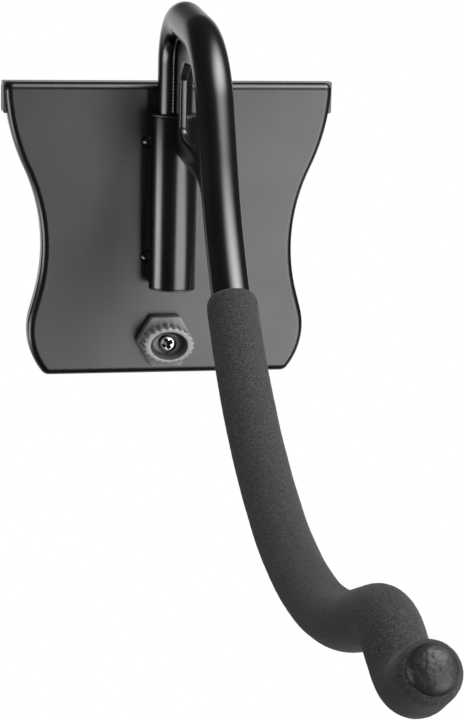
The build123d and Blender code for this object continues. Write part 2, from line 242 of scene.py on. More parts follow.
def new_material(name):
    """An empty material, its node tree, and the place on the object that lays its patterns out."""
    material = bpy.data.materials.new(name)
    material.use_nodes = True
    tree = material.node_tree
    tree.nodes.clear()
    return material, tree, node(tree, "ShaderNodeTexCoord").outputs["Object"]


def painted_recess_shade(tree, tone, reach, stops):
    """Painted shade: a tone darkened by ambient occlusion where a recess is deeper than the light reaches."""
    open_to = node(tree, "ShaderNodeAmbientOcclusion", {"samples": 16}, {"Distance": reach})
    dark = node(tree, "ShaderNodeValToRGB", links={"Fac": open_to.outputs["AO"]}, stops=stops)
    # sockets 0, 6 and 7 and output 2 are the mix's factor, colours and result
    mix = node(tree, "ShaderNodeMix", {"data_type": "RGBA", "blend_type": "MULTIPLY"}, {0: 1.0},
               {6: tone, 7: dark.outputs["Color"]})
    return mix.outputs[2]


# ---------------------------------------- materials

def powder_coat(colours, name="black_powder_coat", roughness=0.23, shine=0.5):
    """Black polyester powder coat, sprayed dry and baked: a smooth film with a faint orange peel."""
    material, tree, place = new_material(name)
    # orange peel: soft waves about 1.8 mm across, only just seen in the edge of a highlight
    peel = node(tree, "ShaderNodeTexNoise", inputs={"Scale": 1 / (1.8 * MM), "Detail": 2.0, "Roughness": 0.5},
                links={"Vector": place})
    bump = node(tree, "ShaderNodeBump", inputs={"Strength": 0.06, "Distance": 0.1 * MM},
                links={"Height": peel.outputs["Fac"]})
    # slow drift of the film, about 35 mm across, keeps broad reflections from looking machined
    drift = node(tree, "ShaderNodeTexNoise", inputs={"Scale": 1 / (35 * MM), "Detail": 3.0},
                 links={"Vector": place})
    black = colours.coat
    tone = node(tree, "ShaderNodeValToRGB", links={"Fac": drift.outputs["Fac"]},
                stops=[(0.3, shade(black, 0.85)), (0.7, shade(black, 1.15))])
    rough = node(tree, "ShaderNodeMapRange", links={"Value": drift.outputs["Fac"]},
                 inputs={"From Min": 0.3, "From Max": 0.7,
                         "To Min": roughness - 0.02, "To Max": roughness + 0.03})
    shader = node(tree, "ShaderNodeBsdfPrincipled", inputs={"IOR": 1.5, "Specular IOR Level": shine},
                  links={"Base Color": tone.outputs["Color"], "Roughness": rough.outputs["Result"],
                         "Normal": bump.outputs["Normal"]})
    node(tree, "ShaderNodeOutputMaterial", links={"Surface": shader.outputs["BSDF"]})
    return material


def closed_cell_foam(colours):
    """Charcoal closed-cell foam sleeve, blown and skived: a dry skin of fine cells with no highlight."""
    material, tree, place = new_material("charcoal_closed_cell_foam")
    # cut cells, about half a millimetre across
    cells = node(tree, "ShaderNodeTexVoronoi", inputs={"Scale": 1 / (0.55 * MM)}, links={"Vector": place})
    # mottle of the skin, about 1 mm across
    grain = node(tree, "ShaderNodeTexNoise",
                 inputs={"Scale": 1 / (0.9 * MM), "Detail": 3.0, "Roughness": 0.65}, links={"Vector": place})
    grey = colours.foam
    tone = node(tree, "ShaderNodeValToRGB", links={"Fac": grain.outputs["Fac"]},
                stops=[(0.32, shade(grey, 0.4)), (0.5, grey), (0.66, shade(grey, 1.9))])
    height = node(tree, "ShaderNodeMath", {"operation": "ADD"},
                  links={0: cells.outputs["Distance"], 1: grain.outputs["Fac"]})
    bump = node(tree, "ShaderNodeBump", inputs={"Strength": 0.7, "Distance": 0.2 * MM},
                links={"Height": height.outputs["Value"]})
    shader = node(tree, "ShaderNodeBsdfPrincipled",
                  inputs={"Roughness": 0.85, "IOR": 1.45, "Specular IOR Level": 0.15, "Sheen Weight": 0.1,
                          "Sheen Roughness": 0.5},
                  links={"Base Color": tone.outputs["Color"], "Normal": bump.outputs["Normal"]})
    node(tree, "ShaderNodeOutputMaterial", links={"Surface": shader.outputs["BSDF"]})
    return material


def dipped_vinyl(colours):
    """Black plasticised vinyl, dipped: soft, satin and slightly puckered where it shrank."""
    material, tree, place = new_material("black_dipped_vinyl")
    # puckers, about 1.6 mm across
    pucker = node(tree, "ShaderNodeTexNoise",
                  inputs={"Scale": 1 / (1.6 * MM), "Detail": 4.0, "Distortion": 1.2}, links={"Vector": place})
    bump = node(tree, "ShaderNodeBump", inputs={"Strength": 0.7, "Distance": 0.35 * MM},
                links={"Height": pucker.outputs["Fac"]})
    black = colours.vinyl
    tone = node(tree, "ShaderNodeValToRGB", links={"Fac": pucker.outputs["Fac"]},
                stops=[(0.3, shade(black, 0.8)), (0.7, shade(black, 1.25))])
    shader = node(tree, "ShaderNodeBsdfPrincipled",
                  inputs={"Roughness": 0.5, "IOR": 1.53, "Specular IOR Level": 0.35},
                  links={"Base Color": tone.outputs["Color"], "Normal": bump.outputs["Normal"]})
    node(tree, "ShaderNodeOutputMaterial", links={"Surface": shader.outputs["BSDF"]})
    return material


def moulded_nylon(colours):
    """Black nylon, injection moulded: a satin skin, a little darker than the coat beside it."""
    material, tree, place = new_material("black_moulded_nylon")
    # skin of the mould, about 0.8 mm across
    skin = node(tree, "ShaderNodeTexNoise", inputs={"Scale": 1 / (0.8 * MM), "Detail": 2.0},
                links={"Vector": place})
    bump = node(tree, "ShaderNodeBump", inputs={"Strength": 0.1, "Distance": 0.05 * MM},
                links={"Height": skin.outputs["Fac"]})
    tone = node(tree, "ShaderNodeValToRGB", links={"Fac": skin.outputs["Fac"]},
                stops=[(0.3, srgb("0B0B0B")), (0.7, srgb("101010"))])
    shader = node(tree, "ShaderNodeBsdfPrincipled", inputs={"Roughness": 0.5, "IOR": 1.53},
                  links={"Base Color": tone.outputs["Color"], "Normal": bump.outputs["Normal"]})
    node(tree, "ShaderNodeOutputMaterial", links={"Surface": shader.outputs["BSDF"]})
    return material


def grey_abs(colours):
    """Mid-grey ABS, moulded in a spark-eroded tool: a fine even matt grain."""
    material, tree, place = new_material("grey_moulded_abs")
    # spark grain of the tool, about 0.5 mm across, and slower flow marks of the melt
    grain = node(tree, "ShaderNodeTexNoise",
                 inputs={"Scale": 1 / (0.5 * MM), "Detail": 3.0, "Roughness": 0.6}, links={"Vector": place})
    flow = node(tree, "ShaderNodeTexNoise",
                inputs={"Scale": 1 / (5 * MM), "Detail": 2.0, "Distortion": 1.0}, links={"Vector": place})
    bump = node(tree, "ShaderNodeBump", inputs={"Strength": 0.25, "Distance": 0.06 * MM},
                links={"Height": grain.outputs["Fac"]})
    grey = colours.knob
    tone = node(tree, "ShaderNodeValToRGB", links={"Fac": flow.outputs["Fac"]},
                stops=[(0.3, shade(grey, 0.88)), (0.7, shade(grey, 1.1))])
    # painted shade: the deep bowl and the feet of the flutes are darkened in their colour where their depth
    # shades them
    deep = painted_recess_shade(tree, tone.outputs["Color"], 14 * MM, [(0.42, shade(WHITE, 0.02)), (1.0, WHITE)])
    shader = node(tree, "ShaderNodeBsdfPrincipled", inputs={"Roughness": 0.48, "IOR": 1.54},
                  links={"Base Color": deep, "Normal": bump.outputs["Normal"]})
    node(tree, "ShaderNodeOutputMaterial", links={"Surface": shader.outputs["BSDF"]})
    return material


def zinc_plate(colours):
    """Bright zinc plated steel, cold headed and barrel plated: silvery with a soft mottled gloss."""
    material, tree, place = new_material("bright_zinc_plated_steel")
    # mottle of the plating, about 1.2 mm across
    mottle = node(tree, "ShaderNodeTexNoise", inputs={"Scale": 1 / (1.2 * MM), "Detail": 4.0},
                  links={"Vector": place})
    zinc = colours.zinc
    tone = node(tree, "ShaderNodeValToRGB", links={"Fac": mottle.outputs["Fac"]},
                stops=[(0.3, shade(zinc, 0.8)), (0.7, shade(zinc, 1.1))])
    rough = node(tree, "ShaderNodeMapRange", inputs={"To Min": 0.18, "To Max": 0.34},
                 links={"Value": mottle.outputs["Fac"]})
    # painted shade: the cross recess is darkened in its colour where its depth shades it
    deep = painted_recess_shade(tree, tone.outputs["Color"], 1.8 * MM, [(0.84, shade(WHITE, 0.01)), (0.97, WHITE)])
    shader = node(tree, "ShaderNodeBsdfPrincipled", inputs={"Metallic": 1.0},
                  links={"Base Color": deep, "Roughness": rough.outputs["Result"]})
    node(tree, "ShaderNodeOutputMaterial", links={"Surface": shader.outputs["BSDF"]})
    return material


MAKERS = {"black_coat": powder_coat, "foam": closed_cell_foam, "vinyl": dipped_vinyl, "nylon": moulded_nylon,
          "grey_plastic": grey_abs, "zinc": zinc_plate}
FINISHES = {}


def finish(slot, colours):
    """The finish for a material slot of the record, made once."""
    if slot not in FINISHES:
        FINISHES[slot] = MAKERS[slot](colours)
    return FINISHES[slot]


def dress(name, material):
    """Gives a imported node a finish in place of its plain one."""
    obj = frame["nodes"][name]
    obj.data.materials.clear()
    obj.data.materials.append(material)


# ---------------------------------------- mesh helpers

def turns(count):
    """Even angles round a full circle."""
    return [2 * math.pi * i / count for i in range(count)]


def quarter(steps, first=0, last=90):
    """Even angles of a quarter turn, from the step called first to the last angle in degrees."""
    return [math.radians(last * i / steps) for i in range(first, steps + 1)]


def stations(start, end, step):
    """Even distances from start to end, both included."""
    count = max(1, round((end - start) / step))
    return [start + (end - start) * i / count for i in range(count + 1)]


def uneven(point, waves):
    """Height of smooth noise at a place, in millimetres, from waves of (size, height)."""
    return sum(noise.noise(point / (size * MM)) * height for size, height in waves)


def outward(mesh, weld=0.0):
    """Turns a mesh's faces outwards, after points nearer to each other than weld become one."""
    made = bmesh.new()
    made.from_mesh(mesh)
    if weld:
        bmesh.ops.remove_doubles(made, verts=made.verts, dist=weld)
    bmesh.ops.recalc_face_normals(made, faces=made.faces)
    made.to_mesh(mesh)
    made.free()
    return mesh


def shell(name, rings, closed=True):
    """A skin over rings of equal counts. Closed, the last ring joins the first; open, the ends are capped."""
    count = len(rings[0])
    verts = [point for ring in rings for point in ring]
    faces = []
    steps = len(rings) if closed else len(rings) - 1
    for i in range(steps):
        a, b = i * count, (i + 1) % len(rings) * count
        for j in range(count):
            k = (j + 1) % count
            faces.append((a + j, a + k, b + k, b + j))
    if not closed:
        faces.append(tuple(reversed(range(count))))
        faces.append(tuple(range(len(verts) - count, len(verts))))
    mesh = bpy.data.meshes.new(name)
    mesh.from_pydata(verts, [], faces)
    return outward(mesh)


def piece(name, mesh, replaced, body, colours, crease=40.0):
    """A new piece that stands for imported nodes, rides on their body and takes their finish."""
    obj = bpy.data.objects.new(name, mesh)
    bpy.context.scene.collection.objects.link(obj)
    mesh.materials.clear()
    mesh.materials.append(finish(SLOTS[replaced], colours))
    mesh.shade_smooth()
    mesh.set_sharp_from_angle(angle=math.radians(crease))
    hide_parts(replaced)
    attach(obj, body)
    return obj


def join(meshes, name):
    """One mesh of several."""
    whole = bmesh.new()
    for mesh in meshes:
        whole.from_mesh(mesh)
    made = bpy.data.meshes.new(name)
    whole.to_mesh(made)
    whole.free()
    return made


# ---------------------------------------- the hook's plane and route

def on_hook(along, across, up):
    """A point of the hook's plane, in millimetres, as a place in the frame."""
    swing = math.radians(SWING_REST)
    out = Vector((math.sin(swing), -math.cos(swing), 0.0))
    side = Vector((-math.cos(swing), -math.sin(swing), 0.0))
    return Vector((PIVOT.x, PIVOT.y, 0.0)) + (out * along + side * across + Vector((0, 0, up))) * MM


def ahead(heading):
    """Unit vector along a heading of the hook's plane."""
    return Vector((math.cos(heading), math.sin(heading)))


def leftward(heading):
    """Unit vector to the left of a heading of the hook's plane."""
    return Vector((-math.sin(heading), math.cos(heading)))


def route(bends):
    """Lays a bend schedule out as legs: (length so far, leg length, start, heading, radius or None, turn)."""
    legs, length, heading = [], 0.0, math.pi / 2
    spot = Vector((0.0, SHANK_FOOT))
    for kind, *sizes in bends:
        if kind == "run":
            leg = (length, sizes[0], spot.copy(), heading, None, 0.0)
        else:
            turn = math.radians(sizes[1])
            leg = (length, sizes[0] * abs(turn), spot.copy(), heading, sizes[0], turn)
        legs.append(leg)
        spot, heading = walk(legs, length + leg[1])
        length += leg[1]
    return legs


def walk(legs, distance):
    """The spot and heading on a route at a distance from its start."""
    slack = 1e-9
    leg = next((leg for leg in legs if distance <= leg[0] + leg[1] + slack), legs[-1])
    start, length, spot, heading, radius, turn = leg
    gone = distance - start
    if radius is None:
        return spot + ahead(heading) * gone, heading
    sign = math.copysign(1.0, turn)
    centre = spot + leftward(heading) * radius * sign
    faces = heading + turn * gone / length
    return centre - leftward(faces) * radius * sign, faces


def length_of(legs):
    """Length of a route."""
    return legs[-1][0] + legs[-1][1]


ROUTE = route(BENDS + GRIP_BENDS + TIP_BENDS)
SWOOP_START = length_of(route(BENDS[:-1]))
GRIP_START = length_of(route(BENDS))
GRIP_END = length_of(route(BENDS + GRIP_BENDS))
ROUTE_END = length_of(ROUTE)


def hoop(distance, radius, count=ARM_POINTS, past=0.0, inset=0.0, across=0.0):
    """A ring round the route, or beside it: past moves it on along the heading, inset into the crook,
    and across out of the hook's plane."""
    spot, heading = walk(ROUTE, distance)
    middle = spot + ahead(heading) * past - leftward(heading) * inset
    ring = []
    for turn in turns(count):
        flat = middle + leftward(heading) * (radius * math.cos(turn))
        ring.append(on_hook(flat.x, across + radius * math.sin(turn), flat.y))
    return ring


def axis(distance):
    """A place on the route's line, and the vector of one millimetre on along it."""
    spot, heading = walk(ROUTE, distance)
    middle = on_hook(spot.x, 0.0, spot.y)
    return middle, on_hook(spot.x + math.cos(heading), 0.0, spot.y + math.sin(heading)) - middle


# ---------------------------------------- hook

def rounded(corners, radius, steps=6):
    """A closed outline with every corner rounded; a corner may carry its own radius as a third value."""
    outline = []
    for i, corner in enumerate(corners):
        here = Vector(corner[:2])
        back = (Vector(corners[i - 1][:2]) - here).normalized()
        on = (Vector(corners[(i + 1) % len(corners)][:2]) - here).normalized()
        bend = corner[2] if len(corner) > 2 else radius
        if bend <= 0:
            outline.append(here)
            continue
        half = back.angle(on) / 2
        centre = here + (back + on).normalized() * (bend / math.sin(half))
        first = here + back * (bend / math.tan(half)) - centre
        last = here + on * (bend / math.tan(half)) - centre
        sweep = first.angle_signed(last)
        outline += [centre + Matrix.Rotation(-sweep * (step / steps), 2) @ first for step in range(steps + 1)]
    return outline


def web_outline():
    """Outline of the gusset: up the shank, round the inside of the hook, and back along the belly."""
    points = []
    dip = SWOOP_START + SWOOP_RADIUS * math.radians(WEB_DIP_TURN)
    for distance in stations(SHOULDER - SHANK_FOOT, dip, 2.0):
        spot, heading = walk(ROUTE, distance)
        points.append(spot - leftward(heading) * WEB_INSET)
    spot, heading = Vector(WEB_LOW), math.atan2(WEB_LOW[1] - WEB_REAR[1], WEB_LOW[0] - WEB_REAR[0])
    centre = spot - leftward(heading) * BELLY_RADIUS
    steps = 12
    faces = [heading + math.radians(BELLY_TURN) * step / steps for step in range(steps + 1)]
    belly = [centre + leftward(face) * BELLY_RADIUS for face in faces]
    belly.append(belly[-1] + ahead(faces[-1]) * WEB_TAPER)
    points += reversed(belly)
    rear = rounded([(*WEB_LOW, 0), WEB_REAR, (WEB_REAR[0], SHOULDER, 0)], WEB_REAR_CORNER)
    return points + rear[1:]


def flat_plate(name, outline, holes, thickness, edge):
    """A plate with rounded edges in the hook's plane, from outlines in millimetres."""
    curve = bpy.data.curves.new(name, "CURVE")
    curve.dimensions = "2D"
    curve.fill_mode = "BOTH"
    curve.extrude = thickness / 2 - edge
    curve.bevel_depth = edge
    curve.bevel_resolution = 3
    curve.offset = -edge
    for line in (outline, *holes):
        spline = curve.splines.new("POLY")
        spline.points.add(len(line) - 1)
        spline.use_cyclic_u = True
        for point, spot in zip(spline.points, line):
            point.co = (spot[0], spot[1], 0.0, 1.0)
    holder = bpy.data.objects.new(name, curve)
    bpy.context.scene.collection.objects.link(holder)
    bpy.context.view_layer.update()
    mesh = bpy.data.meshes.new_from_object(holder)
    bpy.data.objects.remove(holder)
    for vertex in mesh.vertices:
        vertex.co = on_hook(vertex.co.x, vertex.co.z, vertex.co.y)
    return outward(mesh, weld=0.001 * MM)


def weld_run(start, end, inset, across):
    """A rippled fillet weld beside the gusset, along the inside of the hook."""
    rings = []
    for distance in stations(start, end, WELD_STEP):
        radius = WELD_RADIUS + WELD_RIPPLE * math.sin(2 * math.pi * distance / WELD_PITCH)
        rings.append(hoop(distance, radius, WELD_POINTS, inset=inset, across=across))
    return shell("weld", rings, closed=False)


class RACK_OT_hook(bpy.types.Operator):
    """Bent tube of the hook with its vent hole, and the gusset welded in its crook"""

    bl_idname = "rack.hook"
    bl_label = "Hook and gusset"

    def execute(self, context):
        sizes, colours = context.scene.rack_sizes, context.scene.rack_colours
        outer, wall = sizes.arm_radius / MM, sizes.arm_wall / MM
        line = stations(0.0, ROUTE_END, ARM_STEP)
        rings = [hoop(distance, outer) for distance in line]
        rings += [hoop(distance, outer - wall) for distance in reversed(line)]
        arm = piece("bent_arm", shell("bent_arm", rings), "hook_arm", "hook", colours)
        self.vent(context, arm, outer)
        web = flat_plate("gusset", web_outline(), [rounded(SLOT, SLOT_CORNER)], WEB_THICK, WEB_EDGE)
        start, end = SHOULDER - SHANK_FOOT + WELD_LEAD, SWOOP_START + WELD_TAIL
        welds = [weld_run(start, end, outer + WELD_INSET, side * WELD_ASIDE) for side in (-1, 1)]
        piece("gusset", join([web, *welds], "gusset"), "hook_gusset", "hook", colours)
        dress("shank_plug", finish(SLOTS["shank_plug"], colours))
        return {"FINISHED"}

    def vent(self, context, arm, outer):
        """Drills the vent hole, its edge countersunk, through one wall of the first bend."""
        spot, heading = walk(ROUTE, BENDS[0][1] + BENDS[1][1] * math.radians(VENT_ALONG))
        middle = on_hook(spot.x, 0.0, spot.y)
        inward = on_hook(spot.x + math.sin(heading), 0.0, spot.y - math.cos(heading)) - middle
        aside = on_hook(spot.x, 1.0, spot.y) - middle
        turn = math.radians(VENT_ASIDE)
        way = inward * math.cos(turn) + aside * math.sin(turn)
        left = way.cross(Vector((0, 0, 1))).normalized() * MM
        over = left.cross(way).normalized() * MM
        rings = []
        for height, radius in VENT_DRILL:
            rings.append([middle + way * (outer + height) + (left * math.cos(t) + over * math.sin(t)) * radius
                          for t in turns(24)])
        drill = bpy.data.objects.new("drill", shell("drill", rings, closed=False))
        context.scene.collection.objects.link(drill)
        cut = arm.modifiers.new("vent", "BOOLEAN")
        cut.operation, cut.solver, cut.object = "DIFFERENCE", "EXACT", drill
        context.view_layer.update()
        bored = bpy.data.meshes.new_from_object(arm.evaluated_get(context.evaluated_depsgraph_get()))
        arm.modifiers.clear()
        arm.data = bored
        bpy.data.objects.remove(drill)


class RACK_OT_grip(bpy.types.Operator):
    """Foam grip over the cradle and saddle, and the dipped cap on the tip"""

    bl_idname = "rack.grip"
    bl_label = "Grip and cap"

    def execute(self, context):
        sizes, colours = context.scene.rack_sizes, context.scene.rack_colours
        self.foam(sizes, colours)
        self.cap(sizes, colours)
        return {"FINISHED"}

    def foam(self, sizes, colours):
        """Foam sleeve with rolled ends; its skin swells and sinks a little along its length."""
        outer, bore = sizes.grip_radius / MM, sizes.arm_radius / MM + FOAM_CLEAR
        long, thick = sizes.grip_roll / MM, outer - bore - FOAM_EDGE
        roll = [(long * (1 - math.sin(turn)), outer - thick * (1 - math.cos(turn))) for turn in quarter(10)]
        lead, step = 1.2, 1.3
        profile = [(GRIP_START + gone, radius) for gone, radius in reversed(roll)]
        profile += [(distance, outer)
                    for distance in stations(GRIP_START + long + lead, GRIP_END - long - lead, step)]
        profile += [(GRIP_END - gone, radius) for gone, radius in roll]
        rings = []
        for distance, radius in profile:
            middle, _ = axis(distance)
            ring = hoop(distance, radius, FOAM_POINTS)
            rings.append([point + (point - middle).normalized() * (uneven(point, FOAM_WAVES) - FOAM_SINK) * MM
                          for point in ring])
        rings += [hoop(distance, bore, FOAM_POINTS)
                  for distance in reversed(stations(GRIP_START, GRIP_END, 4.0))]
        grip = piece("foam_sleeve", shell("foam_sleeve", rings), "foam_grip", "hook", colours, crease=75.0)

    def cap(self, sizes, colours):
        """Dipped cap: a soft dome from the foam's end, dented where it shrank."""
        bare, skirt = sizes.arm_radius / MM, TIP_BENDS[0][1]
        plug, under = bare - sizes.arm_wall / MM - PLUG_CLEAR, -skirt - CAP_TUCK
        inside, outside = bare + CAP_CLEAR, bare + CAP_FILM
        # the plug in the tube, then the film down to its hem: (radius, way past the tube's end)
        hidden = [(plug, -CAP_PLUG), (plug, 0.0), (inside, 0.0), (inside, under), (outside, under)]
        rings = [hoop(ROUTE_END, radius, CAP_POINTS, past) for radius, past in hidden]
        height = sizes.cap_height / MM + skirt
        _, out = axis(ROUTE_END)
        for turn in quarter(40, 1)[:-1]:
            radius, rise = outside * math.cos(turn) ** 0.9, height * math.sin(turn) ** 1.15
            ring = hoop(ROUTE_END, radius, CAP_POINTS, rise - skirt)
            rings.append([point + out * ((uneven(point, CAP_WAVES) - CAP_SINK) * math.sin(turn) * CAP_DENT)
                          for point in ring])
        piece("dipped_cap", shell("dipped_cap", rings, closed=False), "end_cap", "hook", colours, crease=80.0)


# ---------------------------------------- plate and pivot

class RACK_OT_plate(bpy.types.Operator):
    """Pressed wall plate with its folded lip"""

    bl_idname = "rack.plate"
    bl_label = "Wall plate"

    def execute(self, context):
        # the wide flat face takes a thicker, softer film than the tubes do
        dress("wall_plate", powder_coat(context.scene.rack_colours, "black_powder_coat_on_sheet",
                                        roughness=0.28, shine=0.44))
        return {"FINISHED"}


class RACK_OT_pivot(bpy.types.Operator):
    """Pivot tube with its stitch welds and bushings"""

    bl_idname = "rack.pivot"
    bl_label = "Pivot tube"

    def execute(self, context):
        sizes, colours = context.scene.rack_sizes, context.scene.rack_colours
        outer = sizes.tube_radius / MM
        low, high = (corner[2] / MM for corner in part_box("pivot_tube"))
        rim = [(outer - TUBE_RIM * (1 - math.sin(t)), TUBE_RIM * (1 - math.cos(t))) for t in quarter(5)]
        profile = [(radius, low + rise) for radius, rise in rim]
        profile += [(radius, high - rise) for radius, rise in reversed(rim)]
        profile += [(outer - TUBE_WALL, high), (outer - TUBE_WALL, low)]
        rings = [[Vector((PIVOT.x + radius * MM * math.cos(t), PIVOT.y + radius * MM * math.sin(t), up * MM))
                  for t in turns(TUBE_POINTS)] for radius, up in profile]
        meshes = [shell("tube", rings)]
        meshes += [self.stitch(across, up) for up in STITCH_HEIGHTS for across in STITCH_SIDES]
        piece("pivot_tube_welded", join(meshes, "pivot_tube_welded"), "pivot_tube", "bracket", colours)
        for name in ("upper_bushing", "lower_bushing"):
            dress(name, finish(SLOTS[name], colours))
        return {"FINISHED"}

    def stitch(self, across, up):
        """A short stitch weld in the corner of tube and plate; its face looks out at about 45 degrees."""
        centre = Vector((across * MM, FRONT + 0.1 * MM, up * MM))
        wide, deep = STITCH_FACE
        face = Vector((math.copysign(wide, across), -deep, 0.0))
        along = Vector((deep, math.copysign(wide, across), 0.0))
        steps, rings = 20, []
        for i in range(1, steps):
            slope = math.pi * i / steps
            ring = []
            for turn in turns(32):
                level = math.sin(slope)
                way = Vector((level * math.cos(turn), level * math.sin(turn), math.cos(slope)))
                # the noise is taken at the stitch's own place, so no two swell alike
                swell = 1 + 0.05 * noise.noise(way * 1.3 + centre * 300)
                x, y, z = (part * half for part, half in zip(way, STITCH_HALF))
                point = centre + (face * x + along * y + Vector((0, 0, z))) * swell * MM
                # it melts into the sheet and does not come out behind it
                point.y = min(point.y, FRONT + STITCH_SINK * MM)
                ring.append(point)
            rings.append(ring)
        return shell("stitch", rings, closed=False)


# ---------------------------------------- lock

class RACK_OT_lock(bpy.types.Operator):
    """Quarter-turn lock: knob with a fluted oval collar, screw, washer, cam and nut"""

    bl_idname = "rack.lock"
    bl_label = "Lock"

    def execute(self, context):
        colours = context.scene.rack_colours
        piece("fluted_knob", self.knob(), "lock_knob", "lock", colours, crease=50.0)
        piece("cross_screw", self.screw(), "lock_screw", "lock", colours, crease=50.0)
        for name in ("lock_washer", "lock_cam", "lock_nut"):
            dress(name, finish(SLOTS[name], colours))
        return {"FINISHED"}

    def place(self, right, up, height):
        """A point over the plate's face, in millimetres from the lock's axis."""
        return Vector((LOCK.x + right * MM, FRONT - height * MM, LOCK.z + up * MM))

    def hexagon(self, height, size):
        """A ring of the base with slightly rounded corners; size is half its width across the flats."""
        # the higher this power, the sharper the corners
        sharp, ring = 36, []
        for t in turns(KNOB_POINTS):
            flats = sum(abs(math.cos(t - math.radians(turn))) ** sharp for turn in (30, 90, 150))
            reach = size / flats ** (1 / sharp)
            ring.append(self.place(reach * math.cos(t), reach * math.sin(t), height))
        return ring

    def oval(self, height, form, grown, flute=0.0):
        """A ring of the collar or the bowl; form is its half length and half width."""
        a, b = form[0] + grown, form[1] + grown
        ring = []
        for t in turns(KNOB_POINTS):
            way = Vector((b * math.cos(t), a * math.sin(t))).normalized()
            # the power makes the ridges wide and the grooves between them narrow
            out = flute * (0.5 - 0.5 * math.cos(KNOB_FLUTES * t)) ** 0.7
            ring.append(self.place(a * math.cos(t) + way.x * out, b * math.sin(t) + way.y * out, height))
        return ring

    def knob(self):
        """Hexagonal base, fluted oval collar, and a bowl with the screw's round seat, as one skin."""
        flat = KNOB_CORNER * math.cos(math.radians(30))
        slim, shoulder, neck = flat - KNOB_TAPER, KNOB_BASE - KNOB_EDGE, COLLAR_TOP - COLLAR_EDGE
        rings = [self.hexagon(KNOB_FOOT, flat), self.hexagon(shoulder, slim)]
        rings += [self.hexagon(KNOB_BASE - KNOB_EDGE * (1 - math.sin(t)),
                               slim - KNOB_EDGE * (1 - math.cos(t))) for t in quarter(5, 1)]
        # the collar grows out of a small fillet: (height over the base, growth, flute)
        rings += [self.oval(KNOB_BASE + rise, COLLAR, grown, flute)
                  for rise, grown, flute in ((0.0, 0.6, 0.7), (0.15, 0.3, 0.7), (0.7, 0.1, FLUTE))]
        rings.append(self.oval(neck, COLLAR, 0.0, FLUTE))
        # just short of a quarter turn, a trace of the flutes is left on the collar's top
        rings += [self.oval(neck + COLLAR_EDGE * math.sin(t), COLLAR, -COLLAR_EDGE * (1 - math.cos(t)),
                            FLUTE * math.cos(t) ** 0.5) for t in quarter(6, 1, 89.9)]
        rings += [self.oval(COLLAR_TOP - BOWL_LIP * (1 - math.cos(t)), BOWL, BOWL_LIP * (1 - math.sin(t)))
                  for t in quarter(4)]
        # the bowl narrows faster towards its floor
        rings += [self.oval(COLLAR_TOP - BOWL_LIP - BOWL_DEPTH * share, BOWL, -BOWL_TAPER * share ** 1.6)
                  for share in (0.25, 0.5, 0.75, 1.0)]
        height, *floor = BOWL_FLOOR
        rings.append(self.oval(height, floor, 0.0))
        rings += [self.oval(height, (radius, radius), 0.0) for height, radius in SEAT]
        return shell("fluted_knob", rings)

    def screw(self):
        """Pan head with a cross recess that has turned out of square."""
        turn, rings = math.radians(CROSS_TURN), []
        for step in range(1, HEAD_RINGS + 1):
            radius = HEAD_RADIUS * step / HEAD_RINGS
            crown = HEAD_TOP - HEAD_CROWN * (radius / HEAD_RADIUS) ** 2
            crown -= max(0.0, radius - HEAD_EDGE) ** 2 * HEAD_ROUND
            point = CROSS_POINT * max(0.0, 1 - radius / CROSS_POINT_RADIUS)
            ring = []
            for t in turns(HEAD_POINTS):
                x, z = radius * math.cos(t), radius * math.sin(t)
                u, v = x * math.cos(turn) + z * math.sin(turn), z * math.cos(turn) - x * math.sin(turn)
                cross = max(self.bar(u, v), self.bar(v, u))
                ring.append(self.place(x, z, crown - CROSS_DEPTH * cross - point))
            rings.append(ring)
        foot = (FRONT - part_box("lock_screw")[1][1]) / MM
        for radius, height in (*HEAD_UNDER, (SHANK_RADIUS, foot)):
            rings.append([self.place(radius * math.cos(t), radius * math.sin(t), height)
                          for t in turns(HEAD_POINTS)])
        return shell("cross_screw", rings, closed=False)

    def bar(self, along, across):
        """How deep one bar of the cross recess is, 0 to 1, with walls that lean at its ends and sides."""
        ends = min(1.0, max(0.0, (CROSS_LENGTH - abs(along)) / CROSS_END_LEAN))
        return ends * min(1.0, max(0.0, (CROSS_WIDTH - abs(across)) / CROSS_SIDE_LEAN))


# ---------------------------------------- stage

def feathered(data, edge):
    """Fades a softbox from its bright middle to its rim, as the cloth of a real one does."""
    data.use_nodes = True
    tree = data.node_tree
    spot = node(tree, "ShaderNodeSeparateXYZ",
                links={"Vector": node(tree, "ShaderNodeNewGeometry").outputs["Parametric"]})
    fades = []
    for side in ("X", "Y"):
        off = node(tree, "ShaderNodeMath", {"operation": "SUBTRACT"}, {1: 0.5}, {0: spot.outputs[side]})
        far = node(tree, "ShaderNodeMath", {"operation": "ABSOLUTE"}, links={0: off.outputs[0]})
        fades.append(node(tree, "ShaderNodeMapRange", {"interpolation_type": "SMOOTHSTEP"},
                          {"From Min": 0.5, "From Max": 0.5 - 0.5 * edge}, {"Value": far.outputs[0]}))
    both = node(tree, "ShaderNodeMath", {"operation": "MULTIPLY"},
                links={0: fades[0].outputs["Result"], 1: fades[1].outputs["Result"]})
    tree.links.new(both.outputs[0], tree.nodes["Emission"].inputs["Strength"])


